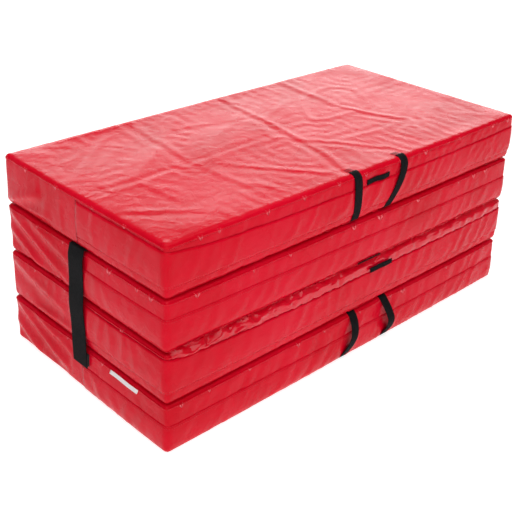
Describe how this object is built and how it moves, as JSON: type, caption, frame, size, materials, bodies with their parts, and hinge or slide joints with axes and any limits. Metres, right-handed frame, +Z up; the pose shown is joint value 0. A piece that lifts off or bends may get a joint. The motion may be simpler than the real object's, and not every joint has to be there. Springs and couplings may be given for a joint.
{
  "type": "folding crash mat",
  "caption": "Folding crash mat: foam panels in zipped red covers, joined by cloth folds, stacked in a zigzag, with webbing handles and closing straps.",
  "frame": {"origin": "middle of the folded mat's footprint, on the floor", "axes": "+X along the fold edges, -Y towards the side with the handles, +Z up"},
  "size_m": [1.2124, 0.6238, 0.5007],
  "materials": {
    "red_vinyl": "glossy PVC-coated cloth",
    "foam": "open-cell foam",
    "black_webbing": "woven webbing",
    "zip_black": "coil zip",
    "hook_and_loop": "hook and loop tape",
    "white_tape": "woven tape"
  },
  "bodies": {
    "panel_1": {"cover_1": "red_vinyl", "foam_core_1": "foam", "zip_1": "zip_black", "zip_flap_1": "red_vinyl", "hinge_1_2_lower": "red_vinyl", "handle_bottom_left": "black_webbing", "handle_bottom_right": "black_webbing", "loop_pad_left": "hook_and_loop", "loop_pad_right": "hook_and_loop", "label": "white_tape"},
    "panel_2": {"cover_2": "red_vinyl", "foam_core_2": "foam", "zip_2": "zip_black", "zip_flap_2": "red_vinyl", "flap_tab_2": "black_webbing", "hinge_1_2_upper": "red_vinyl", "hinge_2_3_lower": "red_vinyl"},
    "panel_3": {"cover_3": "red_vinyl", "foam_core_3": "foam", "zip_3": "zip_black", "zip_flap_3": "red_vinyl", "flap_tab_3": "black_webbing", "hinge_2_3_upper": "red_vinyl", "hinge_3_4_lower": "red_vinyl"},
    "panel_4": {"cover_4": "red_vinyl", "foam_core_4": "foam", "zip_4": "zip_black", "zip_flap_4": "red_vinyl", "flap_tab_4": "black_webbing", "hinge_3_4_upper": "red_vinyl", "handle_top_left": "black_webbing", "handle_top_right": "black_webbing", "strap_anchor_left": "black_webbing", "strap_anchor_right": "black_webbing"},
    "zip_slider_1": {"zip_slider_1": "zip_black"},
    "zip_slider_2": {"zip_slider_2": "zip_black"},
    "zip_slider_3": {"zip_slider_3": "zip_black"},
    "zip_slider_4": {"zip_slider_4": "zip_black"},
    "strap_left": {"strap_left": "black_webbing", "strap_hook_pad_left": "hook_and_loop"},
    "strap_right": {"strap_right": "black_webbing", "strap_hook_pad_right": "hook_and_loop"}
  },
  "joints": [
    {"name": "fold_1_2", "type": "hinge", "parent": "panel_1", "child": "panel_2", "pos_m": [0, 0.312, 0.123], "axis": [-1, 0, 0], "range_deg": [0, 180]},
    {"name": "fold_2_3", "type": "hinge", "parent": "panel_2", "child": "panel_3", "pos_m": [0, -0.312, 0.249], "axis": [1, 0, 0], "range_deg": [0, 180]},
    {"name": "fold_3_4", "type": "hinge", "parent": "panel_3", "child": "panel_4", "pos_m": [0, 0.312, 0.375], "axis": [-1, 0, 0], "range_deg": [0, 180]},
    {"name": "strap_left_peel", "type": "hinge", "parent": "panel_4", "child": "strap_left", "pos_m": [-0.60545, 0, 0.37695], "axis": [0, 1, 0], "range_deg": [0, 90]},
    {"name": "strap_right_peel", "type": "hinge", "parent": "panel_4", "child": "strap_right", "pos_m": [0.60545, 0, 0.37695], "axis": [0, -1, 0], "range_deg": [0, 90]},
    {"name": "zip_slider_1_run", "type": "slide", "parent": "panel_1", "child": "zip_slider_1", "axis": [0.0044, -1, 0], "range_m": [0, 0.2]},
    {"name": "zip_slider_2_run", "type": "slide", "parent": "panel_2", "child": "zip_slider_2", "axis": [0.0044, -1, 0], "range_m": [0, 0.2]},
    {"name": "zip_slider_3_run", "type": "slide", "parent": "panel_3", "child": "zip_slider_3", "axis": [0.0044, -1, 0], "range_m": [0, 0.2]},
    {"name": "zip_slider_4_run", "type": "slide", "parent": "panel_4", "child": "zip_slider_4", "axis": [0.0044, -1, 0], "range_m": [0, 0.2]}
  ]
}
